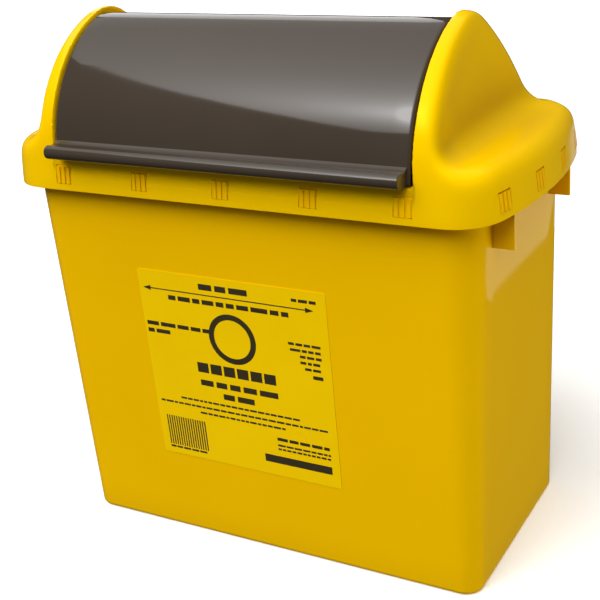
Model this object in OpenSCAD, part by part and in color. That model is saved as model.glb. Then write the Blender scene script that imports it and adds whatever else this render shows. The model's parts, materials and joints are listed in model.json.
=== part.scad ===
// Sharps container: a tapered bin, a lid that snaps onto its collar, and a cover
// that rolls back between two ears and carries a drop tray.
// Origin at the middle of the base, long side along X, front towards -Y, Z up.

/* [Bin] */
// Length of the bin at its base
base_l = 316; // [304:1:320]
// Depth of the bin, front to back, at its base
base_w = 160; // [150:1:162]
// Corner radius of the base
base_r = 10; // [6:1:16]
// Length of the bin under the collar
mouth_l = 327; // [322:1:330]
// Depth of the bin under the collar
mouth_w = 165; // [162:1:166]
// Corner radius of the bin under the collar
mouth_r = 21; // [14:1:28]
// Height of the tapered wall, up to the collar
taper_h = 264; // [220:1:264]
// Thickness of the bin's wall and floor
bin_wall = 2.4; // [1.8:0.1:3]

/* [Lid] */
// Length of the lid across the middle of its bowed ends
lid_l = 368; // [364:1:380]
// Depth of the lid, front to back
lid_w = 185; // [184:1:190]
// Corner radius of the lid
lid_r = 30; // [24:1:36]
// Radius of the lid's bowed ends
bow_r = 315; // [280:5:360]
// Height of the skirt's lower edge
skirt_z = 262.5; // [258:0.5:263]
// Height of the flat end decks
deck_z = 294; // [292:1:298]
// Thickness of the lid's wall
lid_wall = 2.2; // [1.8:0.1:2.4]
// Gap between the skirt and the collar inside it
snap_gap = 1; // [0.8:0.1:1.4]

/* [Snaps] */
// Distance between the snap windows on the front and the back
snap_pitch = 62; // [50:1:66]
// Angle between the snap windows on the bowed ends
snap_turn = 8; // [6:0.5:8]
// Width and height of a snap window
window = 12.4; // [10:0.2:13]

/* [Cover] */
// Height of the cover's axis
axis_z = 277.6; // [276:0.1:279]
// Distance of the cover's axis behind the middle of the bin
axis_y = 2; // [0:0.5:3]
// Outer radius of the cover
cover_r = 93; // [90:0.5:93.5]
// Half of the cover's length
cover_x = 128.4; // [120:0.1:128.6]
// Thickness of the cover
cover_wall = 2.6; // [2:0.1:3]
// How far the cover rolls back from closed to open
open_angle = 75; // [60:1:78]
// Diameter of the two pivot pins
pivot_d = 10; // [8:0.5:12]

/* [Hidden] */

$fn = 64;
eps = 0.01;

bin_yellow = "#dba900";
lid_yellow = "#f2c200";
cover_brown = "#4a423c";
pin_grey = "#6b655f";
label_yellow = "#e9bd10";

// Collar: a channel round the mouth, with an outer wall that carries the teeth.
collar_top = 281;
collar_inset = lid_wall + snap_gap;
gusset_x = 176.9;
gusset_y = 52;
gusset_z = 238.6;

// Label: length, height along the wall, thickness, middle and lower edge.
label_l = 145.5;
label_h = 144;
label_t = 0.4;
label_x = -9.5;
label_z = 64;

// Snap windows, and in each of them a pad with three ribs that stand rib_out proud of it.
window_z = 266.9;
pad_w = 12;
rib_w = 2.5;
rib_pitch = 4;
rib_out = 0.8;
rib_z = 0.3;
rib_h = 11;
rib_tip = 1.7;

// The lid's aperture, the low front wall and the walls that hold the bushes.
ear_x = 129.6;
ear_wall = 2.4;
ear_out = 143;
ear_foot = 18;
foot_inset = 1.5;
ledge_z = 284;
ledge_y = -84;
throat_y = 69;
wall_reach = 78;
wall_low = 266;

// Section of an ear: front arc, tight bend at the top, long arc down the back.
ear_r = 94;
ear_turn = 74;
ear_bend = 34;
back_start = 33;
back_r = 260;
hood_drop = 4;
hood_wall = 2.4;
hood_x = 124.5;
hood_nose = 85;
nose_a = 78;

// Section of the cover.
cover_low = 5.2;
cover_turn = 68;
cover_bend = 30;
cover_end = 15;
step_a = 3.14;

// Rotor parts inside the cover.
cheek_t = 2.4;
hub_r = 16;
tray_t = 2.2;
tray_drop = 30;
tray_front = -76;
tray_back = 40;
tray_lip = 14;
tray_lean = 8;
tip_y = -99;
tip_z = 290.5;
tip_r = 4.5;
lip_short = 1.4;
pivot_end = 136;
shoulder_d = 16;
shoulder_t = 0.8;
flange_d = 22;
flange_t = 2;
fit = 0.05;

// Stops for the cheeks' rear corner, and that corner's place past the bend's start.
stop_in = 60.5;
stop_out = 67;
stop_a = 5;
corner_a = 11.3;
spare_a = 1;

// ---- helpers ----

module rounded_rect(l, w, r) {
    square([l - 2 * r, w], center = true);
    square([l, w - 2 * r], center = true);
    for (sx = [-1, 1], sy = [-1, 1])
        translate([sx * (l / 2 - r), sy * (w / 2 - r)]) circle(r = r);
}

// Solid between two rounded rectangles, the lower one at z = 0.
module tapered_block(l0, w0, r0, l1, w1, r1, h) {
    hull() {
        for (sx = [-1, 1], sy = [-1, 1]) {
            translate([sx * (l0 / 2 - r0), sy * (w0 / 2 - r0), 0])
                cylinder(r = r0, h = eps, $fn = 32);
            translate([sx * (l1 / 2 - r1), sy * (w1 / 2 - r1), h - eps])
                cylinder(r = r1, h = eps, $fn = 32);
        }
    }
}

// Plan outline of the lid: straight front and back, bowed ends, round corners.
bow_x = lid_l / 2 - bow_r;
corner_y = lid_w / 2 - lid_r;
corner_x = bow_x + sqrt(pow(bow_r - lid_r, 2) - pow(corner_y, 2));
bow_a = atan2(corner_y, corner_x - bow_x);

function quarter(i) = concat(
    [for (k = [0:5]) let (a = bow_a * k / 5)
        [bow_x + (bow_r - i) * cos(a), (bow_r - i) * sin(a)]],
    [for (k = [1:9]) let (a = bow_a + (90 - bow_a) * k / 9)
        [corner_x + (lid_r - i) * cos(a), corner_y + (lid_r - i) * sin(a)]]
);

function outline(i) = let (q = quarter(i), n = len(q)) concat(
    q,
    [for (k = [n - 1:-1:0]) [-q[k][0], q[k][1]]],
    [for (k = [1:n - 1]) [-q[k][0], -q[k][1]]],
    [for (k = [n - 1:-1:1]) [q[k][0], -q[k][1]]]
);

module lid_plan(i) {
    polygon(outline(i));
}

// Extrude a section drawn in (Y, Z) along X, from x0 to x1.
module along_x(x0, x1) {
    translate([x0, 0, 0]) rotate([90, 0, 90]) linear_extrude(x1 - x0) children();
}

// Place a section drawn round the cover's axis.
module on_axis() {
    translate([axis_y, axis_z]) children();
}

// Point at radius r from the cover's axis; a = 0 points to the front, 90 up.
function polar(r, a) = [-r * cos(a), r * sin(a)];

// Front arc of radius r, then a bend of radius b that starts at angle turn and
// ends where the surface falls backwards by the angle fall.
function roof(r, b, low, turn, fall, step) = let (
    c = polar(r - b, turn),
    n = round((turn - low) / step),
    m = round((90 - turn + fall) / 6)
) concat(
    [for (k = [0:n]) polar(r, low + (turn - low) * k / n)],
    [for (k = [1:m]) c + polar(b, turn + (90 - turn + fall) * k / m)]
);

// Long arc down the back, from the end of the bend to the height end_z.
function back_arc(r, b, inset, end_z) = let (
    c = polar(r - b, ear_turn),
    p = c + polar(b, 90 + back_start),
    o = p - polar(back_r, 90 + back_start),
    last = 180 - asin((end_z - axis_z - o[1]) / (back_r - inset)),
    first = 90 + back_start
) [for (k = [0:8]) o + polar(back_r - inset, first + (last - first) * k / 8)];

// ---- bin ----

module bin_shell() {
    color(bin_yellow)
    difference() {
        tapered_block(base_l, base_w, base_r, mouth_l, mouth_w, mouth_r, taper_h);
        translate([0, 0, bin_wall])
            tapered_block(base_l - 2 * bin_wall, base_w - 2 * bin_wall, base_r - bin_wall,
                mouth_l - 2 * bin_wall, mouth_w - 2 * bin_wall, mouth_r - bin_wall, taper_h);
    }
}

module bin_collar() {
    color(bin_yellow)
    translate([0, 0, taper_h]) {
        difference() {
            linear_extrude(collar_top - taper_h) lid_plan(collar_inset);
            translate([0, 0, lid_wall]) linear_extrude(collar_top)
                difference() {
                    lid_plan(collar_inset + lid_wall);
                    rounded_rect(mouth_l, mouth_w, mouth_r);
                }
            translate([0, 0, -1]) linear_extrude(collar_top)
                rounded_rect(mouth_l - 2 * bin_wall, mouth_w - 2 * bin_wall, mouth_r - bin_wall);
        }
    }
}

// Two upright plates under one end of the collar; the hand goes between them.
module gussets(side) {
    slope = (mouth_l - base_l) / 2 / taper_h;
    root = mouth_l / 2 - slope * (taper_h - gusset_z);
    color(bin_yellow)
    for (sy = [-1, 1])
        translate([0, sy * gusset_y + bin_wall / 2, 0]) rotate([90, 0, 0])
            linear_extrude(bin_wall)
            polygon([
                [side * root, gusset_z],
                [side * gusset_x, gusset_z],
                [side * gusset_x, taper_h],
                [side * mouth_l / 2, taper_h]
            ]);
}

// A wedge on the plane y = 0, pointing to -Y and thick at the bottom, lowered by drop.
module snap_wedge(x, width, drop) {
    along_x(x - width / 2, x + width / 2)
        polygon([
            [0, window_z + rib_z],
            [drop - collar_inset, window_z + rib_z],
            [drop - rib_tip, window_z + rib_z + rib_h],
            [0, window_z + rib_z + rib_h]
        ]);
}

// A sloping pad with three ribs on it.
module rib_set() {
    snap_wedge(0, pad_w, rib_out);
    for (k = [-1:1])
        snap_wedge(k * rib_pitch, rib_w, 0);
}

// A place on the front of the plan outline, inset by i.
module front_snaps(i) {
    for (k = [-2:2])
        translate([k * snap_pitch, -(lid_w / 2 - i), 0]) children();
}

// A place on the right bowed end, inset by i, turned to face outwards.
module end_snaps(i) {
    for (k = [-1.5:1:1.5])
        translate([bow_x, 0, 0]) rotate([0, 0, k * snap_turn])
            translate([bow_r - i, 0, 0]) rotate([0, 0, 90]) children();
}

module front_teeth() {
    color(bin_yellow) front_snaps(collar_inset) rib_set();
}

module rear_teeth() {
    color(bin_yellow) rotate([0, 0, 180]) front_snaps(collar_inset) rib_set();
}

module right_teeth() {
    color(bin_yellow) end_snaps(collar_inset) rib_set();
}

module left_teeth() {
    color(bin_yellow) rotate([0, 0, 180]) end_snaps(collar_inset) rib_set();
}

// Label on the sloping front wall.
module front_label() {
    tilt = atan((mouth_w - base_w) / 2 / taper_h);
    color(label_yellow)
    translate([label_x, -base_w / 2, 0]) rotate([tilt, 0, 0])
        translate([-label_l / 2, -label_t, label_z]) cube([label_l, label_t, label_h]);
}

// ---- lid ----

module window_cut() {
    translate([-window / 2, -2, window_z]) cube([window, 8, window]);
}

// Skirt, end decks, low front wall with its ledge, and the rear deck strip.
module lid_frame() {
    color(lid_yellow)
    difference() {
        translate([0, 0, skirt_z]) linear_extrude(deck_z - skirt_z) lid_plan(0);
        translate([0, 0, skirt_z - 1]) linear_extrude(deck_z - lid_wall - skirt_z + 1)
            difference() {
                lid_plan(lid_wall);
                translate([-ear_x, -lid_w / 2]) square([2 * ear_x, lid_w / 2 + ledge_y]);
            }
        // aperture
        translate([-ear_x - ear_wall, ledge_y, skirt_z])
            cube([2 * (ear_x + ear_wall), throat_y - ledge_y, deck_z]);
        // low front wall: everything above the ledge goes
        translate([-ear_x, -lid_w, ledge_z]) cube([2 * ear_x, lid_w + ledge_y + 1, deck_z]);
        // space under the ledge
        translate([-ear_x - 1, -lid_w / 2 + lid_wall, skirt_z - 1])
            cube([2 * ear_x + 2, lid_w / 2, ledge_z - lid_wall - skirt_z + 1]);
        // mouths of the ears' hollows
        for (sx = [-1, 1])
            translate([sx * (ear_x + ear_out) / 2, -5, deck_z])
                cube([ear_out - ear_x - 2 * ear_wall, 120, 20], center = true);
        front_snaps(0) window_cut();
        rotate([0, 0, 180]) front_snaps(0) window_cut();
        end_snaps(0) window_cut();
        rotate([0, 0, 180]) end_snaps(0) window_cut();
    }
}

// Section of an ear above the deck, reduced all round by i.
module ear_section(i) {
    low = asin((deck_z - axis_z) / (ear_r - i));
    front = roof(ear_r - i, ear_bend - i, low, ear_turn, back_start, 4);
    back = back_arc(ear_r, ear_bend, i, deck_z);
    on_axis() polygon(concat(front, [for (k = [1:8]) back[k]]));
}

// Right ear: the section above, with a face that sweeps out onto the deck,
// hollow from below, and an inner wall that reaches down to hold the bush.
module ear() {
    color(lid_yellow)
    difference() {
        union() {
            intersection() {
                translate([0, 0, deck_z]) linear_extrude(100) lid_plan(foot_inset);
                along_x(ear_x, ear_out + ear_foot) ear_section(0);
                translate([0, lid_w, 0]) rotate([90, 0, 0]) linear_extrude(2 * lid_w) {
                    translate([ear_x, deck_z - 1]) square([ear_out - ear_x, 90]);
                    difference() {
                        translate([ear_out, deck_z - 1]) square([ear_foot, ear_foot + 1]);
                        translate([ear_out + ear_foot, deck_z + ear_foot]) circle(r = ear_foot);
                    }
                }
            }
            translate([ear_x, -wall_reach, wall_low])
                cube([ear_wall, wall_reach + throat_y, deck_z - wall_low + 1]);
        }
        along_x(ear_x + ear_wall, ear_out - ear_wall) translate([0, -0.5]) ear_section(ear_wall);
        translate([ear_x - 1, axis_y, axis_z]) rotate([0, 90, 0])
            cylinder(d = shoulder_d, h = ear_wall + 2);
    }
}

module right_ear() {
    ear();
}

module left_ear() {
    mirror([1, 0, 0]) ear();
}

// Fixed sloping panel behind the cover. It leaves a slot for the cheek at each end.
module rear_hood() {
    low_i = hood_drop + hood_wall;
    outer = back_arc(ear_r, ear_bend, hood_drop, deck_z);
    inner = back_arc(ear_r, ear_bend, low_i, deck_z);
    color(lid_yellow)
    along_x(-hood_x, hood_x) on_axis()
        polygon(concat(
            [polar(hood_nose, nose_a), polar(hood_nose, nose_a + 6)],
            outer,
            [for (k = [8:-1:0]) inner[k]],
            [polar(hood_nose - hood_wall, nose_a + 6), polar(hood_nose - hood_wall, nose_a)]
        ));
}

// Flanged bush in the wall of the right ear.
module bush() {
    color(pin_grey)
    translate([ear_x, axis_y, axis_z]) rotate([0, 90, 0])
    difference() {
        union() {
            cylinder(d = shoulder_d, h = ear_wall + flange_t);
            translate([0, 0, ear_wall]) cylinder(d = flange_d, h = flange_t);
        }
        translate([0, 0, -1]) cylinder(d = pivot_d + 2 * fit, h = ear_wall + 4);
    }
}

module right_bush() {
    bush();
}

module left_bush() {
    mirror([1, 0, 0]) bush();
}

// Blocks on the ears' inner walls that stop the cheeks when the cover is open.
module open_stops() {
    a0 = cover_turn + corner_a + open_angle + spare_a;
    a1 = a0 + stop_a;
    color(lid_yellow)
    for (sx = [-1, 1])
        mirror([sx < 0 ? 1 : 0, 0, 0])
            along_x(hood_x + 1, ear_x) on_axis()
                polygon([
                    polar(stop_in, a0), polar(stop_out, a0),
                    polar(stop_out, a1), polar(stop_in, a1)
                ]);
}

// ---- cover ----

module cover_shell() {
    outer = roof(cover_r, cover_bend, cover_low, cover_turn, cover_end, step_a);
    inner = roof(cover_r - cover_wall, cover_bend - cover_wall,
        cover_low, cover_turn, cover_end, step_a);
    n = len(outer);
    color(cover_brown)
    along_x(-cover_x, cover_x) on_axis()
        polygon(concat(outer, [for (k = [n - 1:-1:0]) inner[k]]));
}

// Finger lip: a concave flare off the cover that ends in a round bar.
module cover_lip() {
    seat = roof(cover_r, cover_bend, cover_low, cover_turn, cover_end, step_a);
    tip = [tip_y - axis_y, tip_z - axis_z];
    color(cover_brown)
    along_x(-cover_x + lip_short, cover_x - lip_short) on_axis() {
        polygon(concat(
            [for (k = [0:3]) seat[k]],
            [for (k = [0:4]) let (t = k / 4, a = seat[3], b = tip + [0.6, tip_r])
                a + (b - a) * t - [0, 1.2 * sin(180 * t)]],
            [for (k = [1:10]) tip + tip_r * [-sin(18 * k - 8), cos(18 * k - 8)]]
        ));
    }
}

// A point of the open cover, moved to where it is with the cover closed.
function turned(p) = [
    p[0] * cos(open_angle) - p[1] * sin(open_angle),
    p[0] * sin(open_angle) + p[1] * cos(open_angle)
];

// Section of the drop tray, drawn with the cover closed.
module tray_section() {
    on_axis() rotate(open_angle)
        polygon([
            [tray_front, -tray_drop],
            [tray_back, -tray_drop],
            [tray_back + tray_lean, -tray_drop + tray_lip],
            [tray_back + tray_lean - tray_t, -tray_drop + tray_lip],
            [tray_back - 1, -tray_drop + tray_t],
            [tray_front, -tray_drop + tray_t]
        ]);
}

// End plate of the cover: a sector under the shell, a hub, and an arm to the tray.
module cheek() {
    rim = roof(cover_r - cover_wall, cover_bend - cover_wall,
        cover_low, cover_turn, cover_end, step_a);
    n = len(rim);
    hub_from = 80;
    hub_to = 205;
    color(cover_brown)
    along_x(cover_x - cheek_t, cover_x) on_axis()
        polygon(concat(
            [for (k = [2:n - 1]) rim[k]],
            [for (a = [hub_from:5:hub_to]) polar(hub_r, a)],
            [for (p = [[tray_back, -tray_drop], [tray_front, -tray_drop]]) turned(p)],
            [polar(hub_r, 0)]
        ));
}

module right_cheek() {
    cheek();
}

module left_cheek() {
    mirror([1, 0, 0]) cheek();
}

module drop_tray() {
    color(cover_brown)
    along_x(-cover_x + cheek_t, cover_x - cheek_t) tray_section();
}

// Pivot pin on the outside of the right cheek.
module pivot() {
    color(pin_grey)
    translate([cover_x, axis_y, axis_z]) rotate([0, 90, 0]) {
        cylinder(d = pivot_d, h = pivot_end - cover_x);
        cylinder(d = shoulder_d, h = shoulder_t);
    }
}

module right_pivot() {
    pivot();
}

module left_pivot() {
    mirror([1, 0, 0]) pivot();
}

bin_shell();
bin_collar();
gussets(-1);  // left_gussets
gussets(1);  // right_gussets
front_teeth();
rear_teeth();
left_teeth();
right_teeth();
front_label();
lid_frame();
left_ear();
right_ear();
rear_hood();
left_bush();
right_bush();
open_stops();
cover_shell();
cover_lip();
left_cheek();
right_cheek();
drop_tray();
left_pivot();
right_pivot();
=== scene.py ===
"""Looks of the sharps container: lid, cover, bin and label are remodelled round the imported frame.

Lengths in this script are millimetres, in the frame's axes, and become metres when a mesh is made.
"""

import json
import math
import random

import bpy
import numpy as np
from mathutils import Matrix, Vector


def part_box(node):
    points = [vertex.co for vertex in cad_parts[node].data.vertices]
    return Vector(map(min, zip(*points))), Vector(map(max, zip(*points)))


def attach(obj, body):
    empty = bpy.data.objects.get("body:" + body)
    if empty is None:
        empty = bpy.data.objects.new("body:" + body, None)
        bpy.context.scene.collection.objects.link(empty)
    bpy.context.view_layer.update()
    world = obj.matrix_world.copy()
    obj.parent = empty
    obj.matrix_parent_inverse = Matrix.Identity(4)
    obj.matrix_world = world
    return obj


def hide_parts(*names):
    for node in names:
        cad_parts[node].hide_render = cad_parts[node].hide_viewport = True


MM = 0.001

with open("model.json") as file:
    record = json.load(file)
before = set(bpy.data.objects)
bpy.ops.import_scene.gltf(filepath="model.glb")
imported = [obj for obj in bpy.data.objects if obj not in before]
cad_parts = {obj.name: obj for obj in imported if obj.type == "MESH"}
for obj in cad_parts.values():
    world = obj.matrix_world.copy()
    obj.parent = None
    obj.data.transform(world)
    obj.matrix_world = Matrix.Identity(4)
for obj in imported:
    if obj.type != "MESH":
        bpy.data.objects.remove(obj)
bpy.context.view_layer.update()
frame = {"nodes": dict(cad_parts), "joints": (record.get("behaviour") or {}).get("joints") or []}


def box_mm(node):
    """Lowest and highest corner of a CAD node, in millimetres."""
    low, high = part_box(node)
    return np.array(low) / MM, np.array(high) / MM


# ---- places read from the frame ----

LID_LOW, LID_HIGH = box_mm("lid_frame")
EAR_LOW, EAR_HIGH = box_mm("right_ear")
BIN_HIGH = box_mm("bin_shell")[1]
COVER_HIGH = box_mm("cover_shell")[1]
LIP_LOW = box_mm("cover_lip")[0]
HOOD_HIGH = box_mm("rear_hood")[1]
LABEL_LOW, LABEL_HIGH = box_mm("front_label")

LID_LENGTH, LID_DEPTH = (LID_HIGH - LID_LOW)[:2]
SKIRT_Z, DECK_Z = LID_LOW[2], LID_HIGH[2]
EAR_X = EAR_LOW[0]
AXIS_Y, AXIS_Z = np.array(frame["joints"][0]["pos_m"][1:]) / MM

# ---- sizes of the mouldings ----

# Lid: plan outline, wall, and how far the skirt leans in between its lower part and the deck
LID_CORNER = 30
BOW_RADIUS = 315
LID_WALL = 2.2
DRAFT = 3
# Section of an ear: front arc, tight bend at the top, long arc down the back
EAR_RADIUS = 94
EAR_TURN = 74
EAR_BEND = 34
BACK_FALL = 33
BACK_RADIUS = 260
# Outer face of an ear: its distance from the inner wall, its lean, dish, and foot on the deck
EAR_THICK = 14.5
EAR_LEAN = 4
DISH_DEPTH = 1.5
DISH_RIM = 6
DISH_BLEND = 20
EAR_FOOT = 14
# Rounding of the end decks' edges, which starts at EDGE_FROM, and of every edge
EDGE_ROUND = 9
EDGE_FROM = 148
EDGE_BLEND = 14
SOFTNESS = 3.8
# Low front wall between the ears, and the aperture behind it; SHAVE comes off the deck there
LEDGE_Z = 284
LEDGE_Y = -84
THROAT_Y = 69
PANEL_LEAN = 3.3
PANEL_LOW = 264
PANEL_X = 131.5
PANEL_STEP = 3
SHAVE = 0.4
# Holes for the bushes in the ears' inner walls
BUSH_HOLE = 8.4
BUSH_REACH = 6
# How far the ears' sections run on below the deck and the skirt
DECK_SINK = 4
SKIRT_SINK = 20
# Grid of the lid's distance field: it is shifted so that no line lies on a flat face
CELL = 1.2
GRID_INSET = 16
GRID_SHIFT = 0.37
GRID_PAD = 4
GRID_PAD_Y = 3.1
GRID_PAD_Z = 3.3
MIDDLE_LINES = 12
# Points this near the soft form are moved onto it
SKIN_REACH = 0.25
# Points this low above the skirt's edge, and this near the form, are moved onto that edge
RIM_HIGH = 0.7 * CELL
RIM_REACH = 0.9 * CELL

# Snap windows, and how far their cutters reach in and out
WINDOW = 12.4
WINDOW_Z = 266.9
WINDOW_PITCH = 62
WINDOW_TURN = 8
WINDOW_IN = 6
WINDOW_OUT = 3

# Cover shell, and the finger lip on its front edge
COVER_RADIUS = 93
COVER_BEND = 30
COVER_WALL = 2.6
COVER_FROM = 5.2
COVER_TURN = 68
COVER_FALL = 15
COVER_ROUND = 2.4
LIP_RADIUS = 4.5
LIP_INSET = 1.4
LIP_SEAT = 11.6
LIP_SET = 0.6
LIP_HOLLOW = 1.2

# Fixed panel behind the cover
HOOD_NOSE = 85
HOOD_TURN = 78
HOOD_EDGE = 6
HOOD_DROP = 4
HOOD_WALL = 2.4
HOOD_ROUND = 1.6

# Bin: half lengths of the base, lengths of the mouth, corners, wall and rounded base edge
BIN_BASE = (158, 80)
BASE_CORNER = 13
MOUTH_CORNER = 21
BIN_WALL = 2.4
BASE_ROUND = 3.5
MOUTH_LENGTH = 327
MOUTH_DEPTH = 165

BOW_X = LID_LENGTH / 2 - BOW_RADIUS
CORNER_Y = LID_DEPTH / 2 - LID_CORNER
CORNER_X = BOW_X + math.sqrt((BOW_RADIUS - LID_CORNER) ** 2 - CORNER_Y**2)
BOW_ANGLE = math.atan2(CORNER_Y, CORNER_X - BOW_X)


# ---- mesh helpers ----


def make_piece(name, points, faces, body, material, nodes=(), crease=35):
    """A mesh piece from points in millimetres, smooth where it turns by under crease degrees."""
    mesh = bpy.data.meshes.new(name)
    mesh.from_pydata((np.asarray(points, float) * MM).tolist(), [], [list(f) for f in faces])
    mesh.validate()
    obj = bpy.data.objects.new(name, mesh)
    bpy.context.scene.collection.objects.link(obj)
    mesh.materials.append(material)
    mesh.shade_smooth()
    mesh.set_sharp_from_angle(angle=math.radians(crease))
    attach(obj, body)
    if nodes:
        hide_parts(*nodes)
    return obj


def bevel(obj, width, segments=3, angle=40):
    """Rounds the edges of a piece that turn by more than angle degrees; width in millimetres."""
    mod = obj.modifiers.new("edges", "BEVEL")
    mod.width = width * MM
    mod.segments = segments
    mod.limit_method = "ANGLE"
    mod.angle_limit = math.radians(angle)
    mod.harden_normals = True


def ring_faces(rings, count, closed=True):
    """Quads between rings of count points each, one ring after another."""
    faces = []
    last = count if closed else count - 1
    for r in range(rings - 1):
        for k in range(last):
            a, b = r * count + k, r * count + (k + 1) % count
            faces.append((a, b, b + count, a + count))
    return faces


def polar(radius, angle):
    """Points (y, z) at radius from the cover's axis; 0 degrees points to the front, 90 up."""
    turn = np.radians(angle)
    return np.stack([AXIS_Y - radius * np.cos(turn), AXIS_Z + radius * np.sin(turn)], axis=-1)


def roof(radius, bend, low, turn, fall, step=1.5):
    """Front arc of that radius, then a tighter bend that ends where it falls by fall degrees."""
    front = np.linspace(low, turn, max(2, round((turn - low) / step)))
    over = np.linspace(turn, 90 + fall, max(3, round((90 + fall - turn) / (2 * step))))[1:]
    middle = polar(radius - bend, turn) - np.array([AXIS_Y, AXIS_Z])
    return np.concatenate([polar(radius, front), polar(bend, over) + middle])


def back_slope(radius, bend, drop, end_z, steps=24):
    """Long arc down the back of an ear, lowered by drop, from the bend's end to height end_z."""
    start = 90 + BACK_FALL
    origin = np.array([AXIS_Y, AXIS_Z])
    top = polar(radius - bend, EAR_TURN) + polar(bend, start) - origin
    centre = top - (polar(BACK_RADIUS, start) - origin)
    reach = BACK_RADIUS - drop
    end = 180 - math.degrees(math.asin((end_z - centre[1]) / reach))
    return polar(reach, np.linspace(start, end, steps)) - origin + centre


# ---- lid: a distance field, turned into a mesh ----


def plan_distance(x, y):
    """Distance from the lid's plan outline, negative inside."""
    qx, qy = np.abs(x), np.abs(y)
    side = np.hypot(qx - BOW_X, qy) - BOW_RADIUS
    front = qy - LID_DEPTH / 2
    corner = np.hypot(qx - CORNER_X, qy - CORNER_Y) - LID_CORNER
    turn = np.arctan2(qy - CORNER_Y, qx - CORNER_X)
    in_corner = (qx > CORNER_X) & (turn > BOW_ANGLE)
    return np.where(in_corner, corner, np.maximum(side, front))


def outline_distance(outline, y, z):
    """Signed distance of points (y, z) from a closed outline, negative inside."""
    best = np.full(y.shape, 1e9)
    inside = np.zeros(y.shape, bool)
    for (ay, az), (by, bz) in zip(outline, np.roll(outline, -1, axis=0)):
        ey, ez = by - ay, bz - az
        along = np.clip(((y - ay) * ey + (z - az) * ez) / (ey * ey + ez * ez + 1e-12), 0, 1)
        best = np.minimum(best, np.hypot(y - ay - along * ey, z - az - along * ez))
        crosses = (az > z) != (bz > z)
        at = ay + (z - az) / (bz - az if bz != az else 1e-12) * ey
        inside ^= crosses & (y < at)
    return np.where(inside, -best, best)


def smooth_step(t):
    """0 below t = 0, 1 above t = 1, and a smooth S between."""
    t = np.clip(t, 0, 1)
    return t * t * (3 - 2 * t)


def blur(field, axis, sigma):
    """Gaussian blur along one axis, with the slope carried on outside the grid."""
    reach = int(math.ceil(3 * sigma))
    taps = np.exp(-0.5 * (np.arange(-reach, reach + 1) / sigma) ** 2)
    taps /= taps.sum()
    width = [(0, 0)] * 3
    width[axis] = (reach, reach)
    wide = np.pad(field, width, mode="reflect", reflect_type="odd")
    total = np.zeros_like(field)
    for k, tap in enumerate(taps):
        window = [slice(None)] * 3
        window[axis] = slice(k, k + field.shape[axis])
        total += tap * wide[tuple(window)]
    return total


def moulded_form(xs, ys, zs):
    """Soft outer form of the lid on one end's grid: decks, skirt and ear, with rounded edges."""
    front = roof(EAR_RADIUS, EAR_BEND, 0, EAR_TURN, BACK_FALL)
    back = back_slope(EAR_RADIUS, EAR_BEND, 0, DECK_Z - DECK_SINK)[1:]
    below = SKIRT_Z - SKIRT_SINK
    feet = np.array([[back[-1][0], below], [front[0][0], below]])
    y2, z2 = np.meshgrid(ys, zs, indexing="ij")
    section = outline_distance(np.concatenate([front, back, feet]), y2, z2)[None]
    x3 = xs[:, None, None]
    deck = (zs - DECK_Z)[None, None, :]
    lean = EAR_LEAN * (zs - DECK_Z) / (EAR_HIGH[2] - DECK_Z)
    dish = DISH_DEPTH * smooth_step((-section - DISH_RIM) / DISH_BLEND)
    face = x3 - (EAR_X + EAR_THICK - lean[None, None, :] - dish)
    foot = np.hypot(np.maximum(EAR_FOOT - face, 0), np.maximum(EAR_FOOT - deck, 0))
    tower = np.maximum(EAR_FOOT, np.minimum(face, deck)) - foot
    form = np.maximum(tower, np.minimum(section, deck))
    draft = DRAFT * np.clip((zs - PANEL_LOW) / (DECK_Z - PANEL_LOW), 0, 1)
    plan = plan_distance(x3, ys[None, :, None]) + draft[None, None, :]
    soft = 1 + EDGE_ROUND * smooth_step((x3 - EDGE_FROM) / EDGE_BLEND)
    corner = np.hypot(np.maximum(form + soft, 0), np.maximum(plan + soft, 0))
    form = np.minimum(np.maximum(form, plan), -soft) + corner
    for axis in range(3):
        form = blur(form, axis, SOFTNESS / CELL)
    return form


def cut_form(form, x, y, z):
    """The lid's wall: the form with its front panel leaned back, its aperture cut, and hollowed."""
    lean = PANEL_LEAN * smooth_step((z - PANEL_LOW) / (LEDGE_Z - PANEL_LOW))
    lean = lean * (1 - smooth_step((np.abs(x) - PANEL_X) / PANEL_STEP + 0.5))
    panel = (-LID_DEPTH / 2 + lean) - y
    form = np.maximum(form, panel)
    side = np.abs(x) - EAR_X
    middle = np.maximum(side, np.maximum(LEDGE_Y - y, y - THROAT_Y))
    front = np.maximum(np.maximum(side, LEDGE_Z - z), y - THROAT_Y)
    above = np.maximum(side, DECK_Z - SHAVE - z)
    solid = np.maximum(form, -np.minimum(np.minimum(middle, front), above))
    hollow = np.maximum(solid + LID_WALL, z - (DECK_Z - LID_WALL))
    wall = np.maximum(solid, -hollow)
    hole = np.hypot(y - AXIS_Y, z - AXIS_Z) - BUSH_HOLE
    wall = np.maximum(wall, -np.maximum(hole, np.abs(np.abs(x) - EAR_X) - BUSH_REACH))
    return np.maximum(wall, SKIRT_Z - z)


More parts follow.
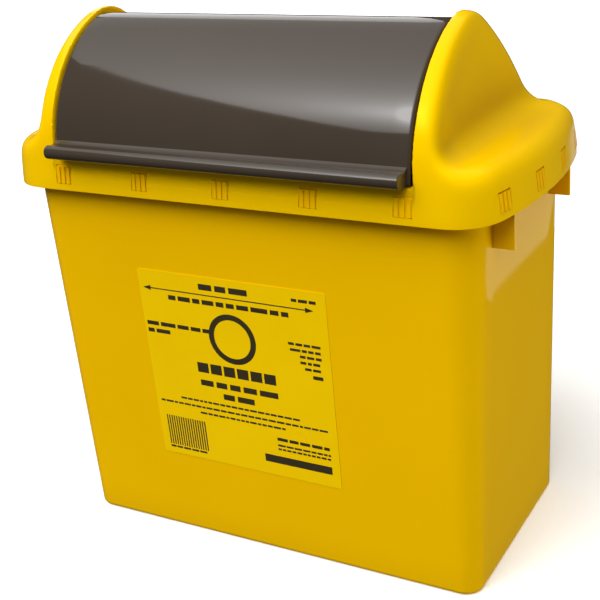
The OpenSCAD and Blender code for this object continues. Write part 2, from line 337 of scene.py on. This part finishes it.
def surface_nets(axes, field):
    """Quads round the zero level of a field sampled on the grid lines in axes."""
    cells = np.array(field.shape) - 1
    sums = np.zeros((cells.prod(), 3))
    counts = np.zeros(cells.prod())
    quads = []
    for a in range(3):
        b, c = (a + 1) % 3, (a + 2) % 3
        near = [slice(None)] * 3
        far = [slice(None)] * 3
        near[a] = slice(0, -1)
        far[a] = slice(1, None)
        f0, f1 = field[tuple(near)], field[tuple(far)]
        edge = np.argwhere((f0 < 0) != (f1 < 0))
        inner_b = (edge[:, b] > 0) & (edge[:, b] < cells[b])
        inner_c = (edge[:, c] > 0) & (edge[:, c] < cells[c])
        edge = edge[inner_b & inner_c]
        v0, v1 = f0[tuple(edge.T)], f1[tuple(edge.T)]
        point = np.stack([axes[d][edge[:, d]] for d in range(3)], axis=1)
        step = axes[a][edge[:, a] + 1] - axes[a][edge[:, a]]
        point[:, a] += v0 / (v0 - v1) * step
        corners = []
        for db, dc in ((0, 0), (1, 0), (1, 1), (0, 1)):
            cell = edge.copy()
            cell[:, b] -= db
            cell[:, c] -= dc
            flat = np.ravel_multi_index(cell.T, cells)
            np.add.at(sums, flat, point)
            np.add.at(counts, flat, 1)
            corners.append(flat)
        quad = np.stack(corners, axis=1)
        quad[v0 > 0] = quad[v0 > 0][:, ::-1]
        quads.append(quad)
    quads = np.concatenate(quads)
    used = np.unique(quads)
    index = np.full(len(counts), -1)
    index[used] = np.arange(len(used))
    return sums[used] / counts[used][:, None], index[quads]


class Sampler:
    """Trilinear reading of a grid field, and of its slope, at any points."""

    def __init__(self, axes, field):
        self.axes = axes
        self.field = field
        self.slope = np.stack(np.gradient(field, *axes), axis=-1)

    def read(self, values, points):
        low, share = [], []
        for d in range(3):
            line = self.axes[d]
            k = np.clip(np.searchsorted(line, points[:, d]) - 1, 0, len(line) - 2)
            low.append(k)
            share.append((points[:, d] - line[k]) / (line[k + 1] - line[k]))
        total = 0
        for corner in np.ndindex(2, 2, 2):
            weight = 1
            for d in range(3):
                weight = weight * (share[d] if corner[d] else 1 - share[d])
            at = values[tuple(low[d] + corner[d] for d in range(3))]
            total = total + (weight[:, None] * at if at.ndim == 2 else weight * at)
        return total

    def value(self, points):
        return self.read(self.field, points)

    def normal(self, points):
        slope = self.read(self.slope, points)
        return slope / np.maximum(np.linalg.norm(slope, axis=1, keepdims=True), 1e-9)


def lid_grid():
    """Grid lines of the lid and its soft form: fine at both ends, long steps between them."""
    end = np.arange(EAR_X - GRID_INSET + GRID_SHIFT, LID_LENGTH / 2 + GRID_PAD, CELL)
    ys = np.arange(-LID_DEPTH / 2 - GRID_PAD_Y, LID_DEPTH / 2 + GRID_PAD_Y, CELL)
    zs = np.arange(SKIRT_Z - GRID_PAD_Z, EAR_HIGH[2] + GRID_PAD, CELL)
    right = moulded_form(end, ys, zs)
    between = np.linspace(-end[0], end[0], MIDDLE_LINES)[1:-1]
    xs = np.concatenate([-end[::-1], between, end])
    plain = np.repeat(right[:1], len(between), axis=0)
    return (xs, ys, zs), np.concatenate([right[::-1], plain, right])


def window_places():
    """Centre and outward direction of each snap window, in plan."""
    places = []
    for side in (-1, 1):
        for k in range(-2, 3):
            places.append(((k * WINDOW_PITCH, side * LID_DEPTH / 2), (0, side)))
        for k in range(-3, 4, 2):
            turn = math.radians(k / 2 * WINDOW_TURN)
            out = (side * math.cos(turn), side * math.sin(turn))
            centre = (side * BOW_X + BOW_RADIUS * out[0], BOW_RADIUS * out[1])
            places.append((centre, out))
    return places


def window_cutters():
    """One object that holds a block for every snap window."""
    points, faces = [], []
    for (cx, cy), (ox, oy) in window_places():
        start = len(points)
        for depth in (-WINDOW_IN, WINDOW_OUT):
            for across, height in ((-1, 0), (1, 0), (1, 1), (-1, 1)):
                x = cx + depth * ox - across * WINDOW / 2 * oy
                y = cy + depth * oy + across * WINDOW / 2 * ox
                points.append((x, y, WINDOW_Z + height * WINDOW))
        faces += [tuple(start + k for k in f) for f in (
            (3, 2, 1, 0), (4, 5, 6, 7), (0, 1, 5, 4), (1, 2, 6, 5), (2, 3, 7, 6), (3, 0, 4, 7),
        )]
    mesh = bpy.data.meshes.new("window_cutters")
    mesh.from_pydata((np.array(points) * MM).tolist(), [], faces)
    obj = bpy.data.objects.new("window_cutters", mesh)
    bpy.context.scene.collection.objects.link(obj)
    return obj


def soften_normals(obj, sampler, reach=0.12, alike=0.9):
    """Takes the normals of the lid's outer skin from its smooth form; cut edges stay crisp."""
    mesh = obj.data
    count = len(mesh.loops)
    normals = np.empty(count * 3, np.float32)
    mesh.corner_normals.foreach_get("vector", normals)
    normals = normals.reshape(-1, 3)
    vertex = np.empty(count, np.int32)
    mesh.loops.foreach_get("vertex_index", vertex)
    points = np.empty(len(mesh.vertices) * 3)
    mesh.vertices.foreach_get("co", points)
    points = points.reshape(-1, 3) / MM
    smooth = sampler.normal(points)
    on_skin = (np.abs(sampler.value(points)) < reach)[vertex]
    agrees = np.einsum("ij,ij->i", smooth[vertex], normals) > alike
    chosen = on_skin & agrees
    normals[chosen] = smooth[vertex][chosen]
    mesh.normals_split_custom_set(normals.tolist())


def build_lid(material):
    """The lid moulding with its skirt, decks, ears and snap windows."""
    crease = 30
    axes, form = lid_grid()
    x, y, z = np.meshgrid(*axes, indexing="ij", sparse=True)
    points, quads = surface_nets(axes, cut_form(form, x, y, z))
    sampler = Sampler(axes, form)
    value = sampler.value(points)
    skin = np.abs(value) < SKIN_REACH
    points[skin] -= value[skin][:, None] * sampler.normal(points[skin])
    rim = (points[:, 2] < SKIRT_Z + RIM_HIGH) & (np.abs(value) < RIM_REACH)
    points[rim, 2] = SKIRT_Z
    for _ in range(2):
        off = sampler.value(points[rim])[:, None] * sampler.normal(points[rim])
        points[rim, :2] -= off[:, :2]
    nodes = ("lid_frame", "left_ear", "right_ear")
    lid = make_piece(
        "lid_moulding", points, quads, "container", material, nodes, crease
    )
    cutters = window_cutters()
    mod = lid.modifiers.new("windows", "BOOLEAN")
    mod.operation = "DIFFERENCE"
    mod.solver = "EXACT"
    mod.object = cutters
    bpy.context.view_layer.update()
    graph = bpy.context.evaluated_depsgraph_get()
    cut = bpy.data.meshes.new_from_object(lid.evaluated_get(graph))
    lid.modifiers.clear()
    lid.data = cut
    bpy.data.objects.remove(cutters)
    cut.shade_smooth()
    cut.set_sharp_from_angle(angle=math.radians(crease))
    soften_normals(lid, sampler)


# ---- rear hood, cover and lip: sections swept along X ----


def sweep(section_at, stations):
    """Points and quads of a closed section swept along X, with flat ends."""
    rings = [section_at(inset) for _, inset in stations]
    count = len(rings[0])
    points = []
    for (x, _), ring in zip(stations, rings):
        points += [(x, y, z) for y, z in ring]
    faces = [f[::-1] for f in ring_faces(len(rings), count)]
    half = count // 2
    for start, flip in ((0, False), ((len(rings) - 1) * count, True)):
        for k in range(half - 1):
            quad = (start + k, start + k + 1, start + count - 2 - k, start + count - 1 - k)
            faces.append(quad[::-1] if flip else quad)
    return points, faces


def rounded_ends(reach, radius, middle=9, steps=6):
    """Stations (x, inset) along X whose section shrinks round each end."""
    turn = np.linspace(0, math.pi / 2, steps)
    end = [(reach - radius + radius * math.sin(t), radius * (1 - math.cos(t))) for t in turn]
    flat = [(x, 0) for x in np.linspace(-(reach - radius), reach - radius, middle)[1:-1]]
    return [(-x, inset) for x, inset in reversed(end)] + flat + end


def build_hood(material):
    """Fixed sloping panel behind the cover, with a rolled front edge."""

    def section(inset):
        front = np.linspace(HOOD_TURN, HOOD_TURN + HOOD_EDGE, 5)
        outer = back_slope(EAR_RADIUS, EAR_BEND, HOOD_DROP + inset, DECK_Z)
        inner = back_slope(EAR_RADIUS, EAR_BEND, HOOD_DROP + HOOD_WALL, DECK_Z)
        top = np.concatenate([polar(HOOD_NOSE - inset, front), outer])
        under = np.concatenate([polar(HOOD_NOSE - HOOD_WALL, front), inner])
        return np.concatenate([top, under[::-1]])

    points, faces = sweep(section, rounded_ends(HOOD_HIGH[0], HOOD_ROUND))
    make_piece("hood_panel", points, faces, "container", material, ("rear_hood",))


def build_cover(material):
    """Glossy cover shell whose ends roll over towards the cheeks."""

    def surface(depth):
        return roof(COVER_RADIUS - depth, COVER_BEND - depth, COVER_FROM, COVER_TURN, COVER_FALL)

    def section(inset):
        return np.concatenate([surface(inset), surface(COVER_WALL)[::-1]])

    points, faces = sweep(section, rounded_ends(COVER_HIGH[0], COVER_ROUND, middle=25, steps=8))
    cover = make_piece(
        "cover_moulding", points, faces, "cover", material, ("cover_shell",)
    )
    bevel(cover, width=0.5)


def build_lip(material):
    """Finger lip: a hollow flare off the cover that ends in a round bar."""
    tip = np.array([LIP_LOW[1] + LIP_RADIUS, LIP_LOW[2] + LIP_RADIUS])
    seat = polar(COVER_RADIUS, np.linspace(COVER_FROM, LIP_SEAT, 5))
    start, end = seat[-1], tip + np.array([LIP_SET, LIP_RADIUS])
    t = np.linspace(0, 1, 12)[1:, None]
    flare = start + (end - start) * t - np.array([[0, LIP_HOLLOW]]) * np.sin(math.pi * t)
    bar_from, bar_to = 10, 178
    turn = np.radians(np.linspace(bar_from, bar_to, 28))
    bar = tip + LIP_RADIUS * np.stack([-np.sin(turn), np.cos(turn)], axis=1)
    section = np.concatenate([seat, flare, bar])
    count = len(section)
    reach = COVER_HIGH[0] - LIP_INSET
    stations = np.linspace(-reach, reach, 9)
    points = [(x, y, z) for x in stations for y, z in section]
    faces = [f[::-1] for f in ring_faces(len(stations), count)]
    faces.append(tuple(range(count)))
    faces.append(tuple(reversed(range(len(points) - count, len(points)))))
    lip = make_piece(
        "finger_lip", points, faces, "cover", material, ("cover_lip",), crease=50
    )
    bevel(lip, width=0.9, segments=4, angle=60)


# ---- bin ----


def corner_ring(length, depth, radius, z, steps=14, side_parts=10, long_gap=40):
    """Ring of points round a rectangle with round corners, with more along each long gap."""
    ring = []
    centres = ((1, 1, 0), (-1, 1, 90), (-1, -1, 180), (1, -1, 270))
    for sx, sy, start in centres:
        for k in range(steps + 1):
            a = math.radians(start + 90 * k / steps)
            x = sx * (length / 2 - radius) + radius * math.cos(a)
            y = sy * (depth / 2 - radius) + radius * math.sin(a)
            ring.append((x, y, z))
    full = []
    for here, there in zip(ring, ring[1:] + ring[:1]):
        full.append(here)
        parts = side_parts if math.dist(here, there) > long_gap else 1
        way = np.array(there) - here
        full += [tuple(np.array(here) + way * k / parts) for k in range(1, parts)]
    return full


def bin_ring(z, inset):
    """Ring of the bin's wall at height z, moved inwards by inset."""
    t = z / BIN_HIGH[2]
    length = 2 * BIN_BASE[0] + (MOUTH_LENGTH - 2 * BIN_BASE[0]) * t - 2 * inset
    depth = 2 * BIN_BASE[1] + (MOUTH_DEPTH - 2 * BIN_BASE[1]) * t - 2 * inset
    radius = max(BASE_CORNER + (MOUTH_CORNER - BASE_CORNER) * t - inset, 1)
    return corner_ring(length, depth, radius, z)


def build_bin(material):
    """Tapered bin with a rounded base edge, a flat rim and its inside."""
    rings = []
    outer_steps, inner_steps = 6, 5
    for k in range(outer_steps + 1):
        a = math.pi / 2 * k / outer_steps
        rings.append(bin_ring(BASE_ROUND * (1 - math.cos(a)), BASE_ROUND * (1 - math.sin(a))))
    top = BIN_HIGH[2]
    rings += [bin_ring(z, 0) for z in np.linspace(BASE_ROUND, top, 14)[1:]]
    rings += [bin_ring(z, BIN_WALL) for z in np.linspace(top, BIN_WALL + BASE_ROUND, 8)]
    for k in range(1, inner_steps + 1):
        a = math.pi / 2 * k / inner_steps
        z = BIN_WALL + BASE_ROUND * (1 - math.sin(a))
        rings.append(bin_ring(z, BIN_WALL + BASE_ROUND * (1 - math.cos(a))))
    count = len(rings[0])
    points = [p for ring in rings for p in ring]
    faces = ring_faces(len(rings), count)
    faces.append(tuple(reversed(range(count))))
    faces.append(tuple(range(len(points) - count, len(points))))
    make_piece(
        "bin_moulding", points, faces, "container", material, ("bin_shell",),
        crease=40,
    )


# ---- label ----

LABEL_WIDE = LABEL_HIGH[0] - LABEL_LOW[0]
WALL_TILT = math.atan((MOUTH_DEPTH / 2 - BIN_BASE[1]) / BIN_HIGH[2])
LABEL_TALL = (LABEL_HIGH[2] - LABEL_LOW[2]) / math.cos(WALL_TILT)
LABEL_MIDDLE = ((LABEL_LOW[0] + LABEL_HIGH[0]) / 2, (LABEL_LOW[2] + LABEL_HIGH[2]) / 2)
LABEL_TRIM = 0.3
LABEL_CORNER = 1.5
FILM = 0.3
INK = 0.06
LAP = 0.02


def on_wall(u, v, out):
    """Point at (u, v) from the label's middle, out from the bin's front wall."""
    z = LABEL_MIDDLE[1] + v * math.cos(WALL_TILT) - out * math.sin(WALL_TILT)
    y = -BIN_BASE[1] - z * math.tan(WALL_TILT) - out * math.cos(WALL_TILT)
    return (LABEL_MIDDLE[0] + u, y, z)


class Print:
    """Collects flat shapes, each a thin plate on the label."""

    def __init__(self, low, high):
        self.low, self.high = low, high
        self.points, self.faces = [], []

    def plate(self, outline, hole=None):
        """A plate with that outline, counter-clockwise, and perhaps a hole with as many points."""
        n = len(outline)
        base = len(self.points)
        loops = [outline] if hole is None else [outline, hole]
        for loop in loops:
            self.points += [on_wall(u, v, self.high) for u, v in loop]
            self.points += [on_wall(u, v, self.low) for u, v in loop]
        for k in range(n):
            m = (k + 1) % n
            self.faces.append((base + k, base + n + k, base + n + m, base + m))
            if hole is not None:
                inner = base + 2 * n
                self.faces.append((inner + m, inner + n + m, inner + n + k, inner + k))
                self.faces.append((base + k, base + m, inner + m, inner + k))
                self.faces.append((inner + n + k, inner + n + m, base + n + m, base + n + k))
        if hole is None:
            self.faces.append(tuple(range(base, base + n)))
            self.faces.append(tuple(reversed(range(base + n, base + 2 * n))))

    def bar(self, u0, u1, v, height):
        """A plain bar from u0 to u1 with its middle at height v."""
        low, high = v - height / 2, v + height / 2
        self.plate([(u0, low), (u1, low), (u1, high), (u0, high)])

    def dashes(self, u0, u1, v, height, dice):
        """A row of plain dashes of mixed lengths, in place of a line of print."""
        u = u0
        while u < u1 - height:
            long = min(height * dice.uniform(1.6, 4.2), u1 - u)
            self.bar(u, u + long, v, height)
            u += long + height * 0.55


def circle(u, v, radius, steps=64):
    """Outline of a circle, counter-clockwise."""
    turns = [2 * math.pi * k / steps for k in range(steps)]
    return [(u + radius * math.cos(a), v + radius * math.sin(a)) for a in turns]


def rounded_outline(wide, tall, radius, steps=6):
    """Outline of a rectangle with round corners, counter-clockwise."""
    outline = []
    for sx, sy, start in ((1, 1, 0), (-1, 1, 90), (-1, -1, 180), (1, -1, 270)):
        for k in range(steps + 1):
            a = math.radians(start + 90 * k / steps)
            outline.append((
                sx * (wide / 2 - radius) + radius * math.cos(a),
                sy * (tall / 2 - radius) + radius * math.sin(a),
            ))
    return outline


def build_label(film, ink):
    """The label's film, and on it a fill level line with plain bars, dashes and a ring."""
    sheet = Print(LAP, FILM)
    sheet.plate(rounded_outline(LABEL_WIDE - LABEL_TRIM, LABEL_TALL - LABEL_TRIM, LABEL_CORNER))
    make_piece(
        "label_film", sheet.points, sheet.faces, "container", film, ("front_label",)
    )

    # Places on the label are millimetres from its middle.
    marks = Print(FILM - LAP, FILM + INK)
    dice = random.Random(7)
    level, left, right, head, barb = 58.5, -69.3, 63.3, 6, 1.9
    marks.bar(left + head - 1, right - head + 1, level, 0.8)
    marks.plate([(left, level), (left + head, level - barb), (left + head, level + barb)])
    marks.plate([(right, level), (right - head, level + barb), (right - head, level - barb)])
    marks.dashes(-23.5, 20.5, 64.3, 4.3, dice)
    marks.dashes(47.5, 65.5, 64.3, 2.2, dice)
    marks.dashes(-49.5, 44.5, 53.2, 3.4, dice)
    marks.dashes(-70.5, -19, 31.8, 3, dice)
    marks.dashes(-70.5, -48, 26.2, 3, dice)
    marks.plate(circle(-1.5, 28.5, 18.5), circle(-1.5, 28.5, 14.3))
    for k in range(6):
        block = -33 + 10.7 * k
        marks.bar(block, block + 9, 3.2, 7.6)
    marks.dashes(-32, 30, -8.6, 4.4, dice)
    marks.dashes(-14.5, 10.5, -17, 4.4, dice)
    for u0, u1, v in ((-51, 47, -24), (-69, 66, -28.8), (-36, 35, -33.4)):
        marks.dashes(u0, u1, v, 1.5, dice)
    for k in range(17):
        marks.bar(-66.5 + 2 * k, -65.5 + 2 * k, -52.5, 24)
    marks.dashes(-66.5, -33, -66.3, 1.6, dice)
    for k, long in enumerate((24, 23, 16, 16, 13)):
        marks.dashes(66 - long, 66, 33 - 4.3 * k, 1.9, dice)
    marks.dashes(58.5, 66, 10.5, 2.6, dice)
    marks.dashes(25.5, 66.5, -42.3, 2.4, dice)
    marks.dashes(25.5, 66.5, -47.2, 1.5, dice)
    marks.dashes(25.5, 66.5, -50.2, 1.5, dice)
    marks.bar(14, 66.5, -59, 6)
    make_piece("label_print", marks.points, marks.faces, "container", ink)


# ---- materials ----


def socket(shader, name, value):
    shader.inputs[name].default_value = value


def new_material(name):
    material = bpy.data.materials.new(name)
    material.use_nodes = True
    tree = material.node_tree
    tree.nodes.clear()
    out = tree.nodes.new("ShaderNodeOutputMaterial")
    shader = tree.nodes.new("ShaderNodeBsdfPrincipled")
    tree.links.new(shader.outputs[0], out.inputs[0])
    return material, tree, shader


def noise(tree, scale, detail=3.0, stretch=None):
    """Noise in the object's own coordinates; scale is per metre."""
    place = tree.nodes.new("ShaderNodeTexCoord")
    texture = tree.nodes.new("ShaderNodeTexNoise")
    texture.inputs["Scale"].default_value = scale
    texture.inputs["Detail"].default_value = detail
    source = place.outputs["Object"]
    if stretch is not None:
        mapping = tree.nodes.new("ShaderNodeMapping")
        mapping.inputs["Scale"].default_value = stretch
        tree.links.new(source, mapping.inputs["Vector"])
        source = mapping.outputs[0]
    tree.links.new(source, texture.inputs["Vector"])
    return texture.outputs["Fac"]


def spread(tree, source, low, high, from_low=0.3, from_high=0.7):
    """Maps a texture to a range of numbers."""
    node = tree.nodes.new("ShaderNodeMapRange")
    for name, value in (
        ("From Min", from_low), ("From Max", from_high), ("To Min", low), ("To Max", high),
    ):
        node.inputs[name].default_value = value
    tree.links.new(source, node.inputs["Value"])
    return node.outputs[0]


def blend_colours(tree, share, first, second):
    """A colour between two, by a share from 0 to 1."""
    node = tree.nodes.new("ShaderNodeMix")
    node.data_type = "RGBA"
    tree.links.new(share, node.inputs[0])
    for name, value in ((6, first), (7, second)):
        if isinstance(value, tuple):
            node.inputs[name].default_value = (*value, 1)
        else:
            tree.links.new(value, node.inputs[name])
    return node.outputs[2]


def bump_chain(tree, shader, layers):
    """Adds bumps in turn; each layer is (texture output, height in metres)."""
    previous = None
    for source, height in layers:
        node = tree.nodes.new("ShaderNodeBump")
        node.inputs["Strength"].default_value = 1.0
        node.inputs["Distance"].default_value = height
        tree.links.new(source, node.inputs["Height"])
        if previous is not None:
            tree.links.new(previous, node.inputs["Normal"])
        previous = node.outputs[0]
    tree.links.new(previous, shader.inputs["Normal"])


def moulded_plastic(name, light, dark, rough, wave, grain, tint=(1, 1, 1), ior=1.49):
    """Moulded polypropylene: faint colour drift, slow sink waves, fine grain, and light rubbing."""
    material, tree, shader = new_material(name)
    drift = noise(tree, scale=9, detail=2)
    tone = blend_colours(tree, spread(tree, drift, 0, 1), light, dark)
    dust = noise(tree, scale=900, detail=2)
    specks = spread(tree, dust, 0, 0.25, from_low=0.55, from_high=0.8)
    tone = blend_colours(tree, specks, tone, dark)
    tree.links.new(tone, shader.inputs["Base Color"])
    rubs = noise(tree, scale=60, detail=4, stretch=(1, 1, 0.15))
    tree.links.new(spread(tree, rubs, rough * 0.94, rough * 1.08), shader.inputs["Roughness"])
    bump_chain(tree, shader, (
        (noise(tree, scale=11, detail=1), wave),
        (noise(tree, scale=700, detail=2), grain),
    ))
    socket(shader, "IOR", ior)
    socket(shader, "Specular Tint", (*tint, 1))
    return material


def printed_film(name, light, dark, rough, tint=(1, 1, 1), ior=1.5):
    """Printed film with slight cockling and a satin surface."""
    material, tree, shader = new_material(name)
    drift = noise(tree, scale=25, detail=3)
    tone = blend_colours(tree, spread(tree, drift, 0, 1), light, dark)
    tree.links.new(tone, shader.inputs["Base Color"])
    worn = spread(tree, noise(tree, scale=40, detail=3), rough * 0.85, rough * 1.2)
    tree.links.new(worn, shader.inputs["Roughness"])
    bump_chain(tree, shader, (
        (noise(tree, scale=30, detail=2), 0.0003),
        (noise(tree, scale=1500, detail=2), 0.00001),
    ))
    socket(shader, "IOR", ior)
    socket(shader, "Specular Tint", (*tint, 1))
    return material


# ---- stage, light and camera ----


def build_stage():
    """Pale paper floor; it casts no shadow, so that the sun below can stand for its bounce."""
    size, drop = 6.0, 0.0003
    mesh = bpy.data.meshes.new("floor")
    corners = [(-size, -size, 0), (size, -size, 0), (size, size, 0), (-size, size, 0)]
    mesh.from_pydata(corners, [], [(0, 1, 2, 3)])
    floor = bpy.data.objects.new("floor", mesh)
    floor.location.z = -drop
    bpy.context.scene.collection.objects.link(floor)
    material, tree, shader = new_material("floor_paper")
    drift = spread(tree, noise(tree, scale=3, detail=2), 0, 1)
    tone = blend_colours(tree, drift, (0.93, 0.93, 0.92), (0.91, 0.91, 0.90))
    tree.links.new(tone, shader.inputs["Base Color"])
    socket(shader, "Roughness", 0.9)
    mesh.materials.append(material)
    floor.visible_glossy = False
    floor.visible_diffuse = False
    floor.visible_shadow = False


def build_softbox():
    """Large diffuser overhead, seen in the gloss only, brightest where its lamp stands behind."""
    height = 1.6
    bright = (-0.45, -1.5, height)
    dim, full = 0.8, 11
    far_off, close_by = 0.48, 4
    plan = ((-1.2, -2.4), (-1.2, -0.5), (-2.6, 1.2), (1.0, 1.2), (1.0, -2.4))
    mesh = bpy.data.meshes.new("softbox")
    mesh.from_pydata([(x, y, height) for x, y in plan], [], [tuple(range(len(plan)))])
    card = bpy.data.objects.new("softbox", mesh)
    bpy.context.scene.collection.objects.link(card)
    material = bpy.data.materials.new("softbox_glow")
    material.use_nodes = True
    tree = material.node_tree
    tree.nodes.clear()
    out = tree.nodes.new("ShaderNodeOutputMaterial")
    glow = tree.nodes.new("ShaderNodeEmission")
    tree.links.new(glow.outputs[0], out.inputs[0])
    place = tree.nodes.new("ShaderNodeTexCoord")
    away = tree.nodes.new("ShaderNodeVectorMath")
    away.operation = "DISTANCE"
    away.inputs[1].default_value = bright
    tree.links.new(place.outputs["Object"], away.inputs[0])
    near = tree.nodes.new("ShaderNodeMath")
    near.operation = "POWER"
    near.inputs[1].default_value = -1
    tree.links.new(away.outputs["Value"], near.inputs[0])
    strength = spread(tree, near.outputs[0], dim, full, far_off, close_by)
    tree.links.new(strength, glow.inputs["Strength"])
    mesh.materials.append(material)
    card.visible_camera = False
    card.visible_diffuse = False
    card.visible_shadow = False


def gloss_light(name, size, power):
    """Rectangular light, seen in the gloss only; size is (wide, tall) in metres."""
    lamp = bpy.data.lights.new(name, "AREA")
    lamp.shape = "RECTANGLE"
    lamp.size, lamp.size_y = size
    lamp.energy = power
    obj = bpy.data.objects.new(name, lamp)
    obj.visible_diffuse = False
    obj.visible_camera = False
    bpy.context.scene.collection.objects.link(obj)
    return obj


def sun_light(azimuth, elevation, power):
    """Soft distant light for the shading; azimuth 0 is the front, and 90 the right."""
    lamp = bpy.data.lights.new("soft_sun", "SUN")
    lamp.energy = power
    lamp.angle = math.radians(SUN_WIDTH)
    obj = bpy.data.objects.new("soft_sun", lamp)
    a, e = math.radians(azimuth), math.radians(elevation)
    source = Vector((math.sin(a) * math.cos(e), -math.cos(a) * math.cos(e), math.sin(e)))
    obj.rotation_euler = source.to_track_quat("Z", "Y").to_euler()
    obj.visible_glossy = False
    bpy.context.scene.collection.objects.link(obj)


def floor_card(low, high, glow):
    """Bright patch of the floor in the gloss; low and high are opposite corners in plan."""
    lift = 0.002
    wide, deep = high[0] - low[0], high[1] - low[1]
    card = gloss_light("floor_card", (wide, deep), glow * math.pi * wide * deep)
    card.location = ((low[0] + high[0]) / 2, (low[1] + high[1]) / 2, lift)
    card.rotation_euler = (math.pi, 0, 0)


# Suns: azimuth, elevation and power. The one from below stands for the floor's own bounce.
SUN_WIDTH = 46
SUNS = (
    (-50, 50, 1.6), (-8, 50, 1.86), (34, 50, 0.9), (121, -42, 2.35),
    (180, 12, 0.5), (-110, 12, 0.4), (60, 75, 0.9),
)
# Strength of the white surroundings: to the camera, to every other ray, and added for diffuse ones
SKY_SEEN = 1.0
SKY_OTHER = 0.04
SKY_DIFFUSE = 0.10


def build_light():
    """White surroundings, soft suns for the shading, and cards for the reflections."""
    world = bpy.data.worlds.new("studio")
    world.use_nodes = True
    tree = world.node_tree
    sky = tree.nodes["Background"]
    sky.inputs["Color"].default_value = (1, 1, 1, 1)
    path = tree.nodes.new("ShaderNodeLightPath")
    flag = {"from_low": 0, "from_high": 1}
    seen = spread(tree, path.outputs["Is Camera Ray"], SKY_OTHER, SKY_SEEN, **flag)
    lit = spread(tree, path.outputs["Is Diffuse Ray"], 0, SKY_DIFFUSE, **flag)
    both = tree.nodes.new("ShaderNodeMath")
    both.operation = "ADD"
    tree.links.new(seen, both.inputs[0])
    tree.links.new(lit, both.inputs[1])
    tree.links.new(both.outputs[0], sky.inputs["Strength"])
    bpy.context.scene.world = world
    for azimuth, elevation, power in SUNS:
        sun_light(azimuth, elevation, power)
    back = gloss_light("backdrop", size=(1.9, 1.95), power=21)
    back.location = (-1.95, 2.4, 1.75)
    back.rotation_euler = Vector((0, -1, 0)).to_track_quat("-Z", "Y").to_euler()
    floor_card(low=(0.323, 0.36), high=(0.46, 0.72), glow=0.47)
    floor_card(low=(-0.5, 0.62), high=(0.28, 1.6), glow=0.42)


def build_camera():
    """Camera at the photograph's angle: high, off the right front corner, and slightly rolled."""
    target = Vector((0.00303, 0.02359, 0.13125))
    azimuth, elevation, roll = (math.radians(a) for a in (30.01, 24.35, -4.74))
    distance = 0.8655
    away = Vector((
        math.sin(azimuth) * math.cos(elevation),
        -math.cos(azimuth) * math.cos(elevation),
        math.sin(elevation),
    ))
    data = bpy.data.cameras.new("camera")
    data.lens = 69.85
    data.sensor_width = 36
    data.shift_x = -0.0479
    data.shift_y = 0.0419
    data.clip_start = 0.05
    data.clip_end = 50
    camera = bpy.data.objects.new("camera", data)
    turn = away.to_track_quat("Z", "Y").to_matrix().to_4x4() @ Matrix.Rotation(roll, 4, "Z")
    camera.matrix_world = Matrix.Translation(target + away * distance) @ turn
    bpy.context.scene.collection.objects.link(camera)
    bpy.context.scene.camera = camera


# ---- the scene ----

YELLOW_TINT = (1, 0.8, 0.05)
YELLOW_IOR = 1.36

bin_yellow = moulded_plastic(
    "bin_yellow", (0.85, 0.482, 0), (0.82, 0.462, 0), 0.05, 0.00006, 0, YELLOW_TINT, YELLOW_IOR
)
lid_yellow = moulded_plastic(
    "lid_yellow", (0.84, 0.505, 0), (0.82, 0.49, 0), 0.15, 0.0002, 0.00001, YELLOW_TINT, YELLOW_IOR
)
brown_gloss = moulded_plastic(
    "brown_gloss", (0.048, 0.036, 0.026), (0.043, 0.032, 0.023), 0.07, 0.0002, 0
)
pin_grey = moulded_plastic(
    "pin_grey", (0.16, 0.14, 0.12), (0.13, 0.11, 0.10), 0.4, 0.0002, 0.00002
)
film_yellow = printed_film(
    "film_yellow", (0.88, 0.565, 0), (0.86, 0.545, 0), 0.32, YELLOW_TINT, YELLOW_IOR
)
ink_brown = printed_film("ink_brown", (0.03, 0.022, 0.008), (0.04, 0.03, 0.012), 0.4)

build_lid(lid_yellow)
build_hood(lid_yellow)
build_cover(brown_gloss)
build_lip(brown_gloss)
build_bin(bin_yellow)
build_label(film_yellow, ink_brown)

SHOWN_CAD = {
    "bin_collar": bin_yellow,
    "left_gussets": bin_yellow,
    "right_gussets": bin_yellow,
    "front_teeth": bin_yellow,
    "rear_teeth": bin_yellow,
    "left_teeth": bin_yellow,
    "right_teeth": bin_yellow,
    "open_stops": lid_yellow,
    "left_bush": pin_grey,
    "right_bush": pin_grey,
    "left_cheek": brown_gloss,
    "right_cheek": brown_gloss,
    "drop_tray": brown_gloss,
    "left_pivot": pin_grey,
    "right_pivot": pin_grey,
}
for node_name, finish in SHOWN_CAD.items():
    mesh = frame["nodes"][node_name].data
    mesh.materials.clear()
    mesh.materials.append(finish)

build_stage()
build_softbox()
build_light()
build_camera()
bpy.context.scene.view_settings.view_transform = "Standard"
